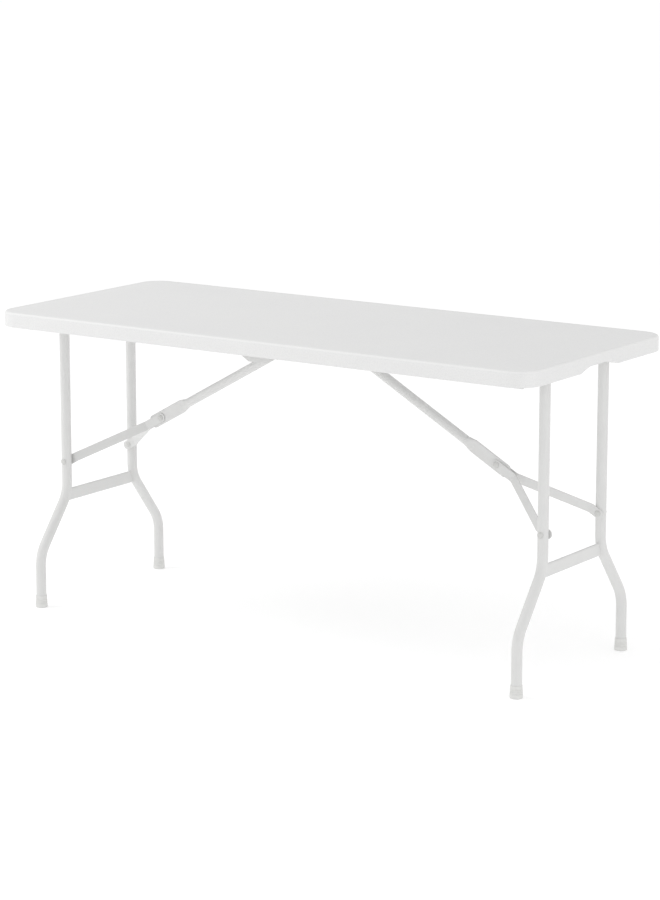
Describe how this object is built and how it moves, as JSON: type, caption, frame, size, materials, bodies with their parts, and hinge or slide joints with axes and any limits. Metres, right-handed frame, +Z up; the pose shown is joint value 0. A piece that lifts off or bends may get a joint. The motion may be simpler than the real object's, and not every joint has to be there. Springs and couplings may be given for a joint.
{
  "type": "folding table",
  "caption": "Long rectangular utility table: moulded plastic top, two folding tube leg frames with spread feet, and hinged Y braces under the top",
  "frame": {"origin": "on the floor, under the middle of the top", "axes": "+X along the length of the top, +Y across it towards the back, +Z up"},
  "size_m": [1.5, 0.63, 0.75],
  "materials": {
    "moulded_top": "moulded white polyethylene with a fine pebble grain",
    "coated_steel": "off-white powder coat on steel",
    "foot_plastic": "off-white polyethylene cap",
    "plug_nylon": "natural nylon",
    "rivet_steel": "off-white coated rivet",
    "screw_steel": "zinc-plated screw"
  },
  "bodies": {
    "top": {"tabletop": "moulded_top", "front_rail": "coated_steel", "back_rail": "coated_steel", "front_pivot_plate": "coated_steel", "back_pivot_plate": "coated_steel", "plate_rivets": "rivet_steel", "rail_screws": "screw_steel"},
    "left_leg_frame": {"left_pivot_tube": "coated_steel", "left_pivot_plugs": "plug_nylon", "left_front_leg": "coated_steel", "left_back_leg": "coated_steel", "left_knee_bar": "coated_steel", "left_front_foot": "foot_plastic", "left_back_foot": "foot_plastic", "left_leg_rivets": "rivet_steel"},
    "left_link": {"left_crossbar": "coated_steel", "left_crossbar_plugs": "plug_nylon", "left_brace_link": "coated_steel", "left_hinge_rivet": "rivet_steel"},
    "left_arms": {"left_front_arm": "coated_steel", "left_back_arm": "coated_steel", "left_arm_rivets": "rivet_steel"},
    "right_leg_frame": {"right_pivot_tube": "coated_steel", "right_pivot_plugs": "plug_nylon", "right_front_leg": "coated_steel", "right_back_leg": "coated_steel", "right_knee_bar": "coated_steel", "right_front_foot": "foot_plastic", "right_back_foot": "foot_plastic", "right_leg_rivets": "rivet_steel"},
    "right_link": {"right_crossbar": "coated_steel", "right_crossbar_plugs": "plug_nylon", "right_brace_link": "coated_steel", "right_hinge_rivet": "rivet_steel"},
    "right_arms": {"right_front_arm": "coated_steel", "right_back_arm": "coated_steel", "right_arm_rivets": "rivet_steel"}
  },
  "joints": [
    {"name": "left_leg_fold", "type": "hinge", "parent": "top", "child": "left_leg_frame", "pos_m": [-0.686, 0, 0.715], "axis": [0, -1, 0], "range_deg": [0, 87.5]},
    {"name": "left_link_swing", "type": "hinge", "parent": "top", "child": "left_link", "pos_m": [-0.035, 0, 0.715], "axis": [0, 1, 0], "range_deg": [0, 28.84]},
    {"name": "left_arm_swing", "type": "hinge", "parent": "left_link", "child": "left_arms", "pos_m": [-0.48637, 0, 0.46331], "axis": [0, -1, 0], "range_deg": [0, 177.54]},
    {"name": "right_leg_fold", "type": "hinge", "parent": "top", "child": "right_leg_frame", "pos_m": [0.686, 0, 0.715], "axis": [0, 1, 0], "range_deg": [0, 84.5]},
    {"name": "right_link_swing", "type": "hinge", "parent": "top", "child": "right_link", "pos_m": [0.035, 0, 0.715], "axis": [0, -1, 0], "range_deg": [0, 28.69]},
    {"name": "right_arm_swing", "type": "hinge", "parent": "right_link", "child": "right_arms", "pos_m": [0.48637, 0, 0.46331], "axis": [0, 1, 0], "range_deg": [0, 172.96]}
  ],
  "couplings": [
    {"joint": "left_link_swing", "follows": "left_leg_fold", "ratio": 0.32391},
    {"joint": "left_arm_swing", "follows": "left_leg_fold", "ratio": 2.0233},
    {"joint": "right_link_swing", "follows": "right_leg_fold", "ratio": 0.33365},
    {"joint": "right_arm_swing", "follows": "right_leg_fold", "ratio": 2.041}
  ]
}
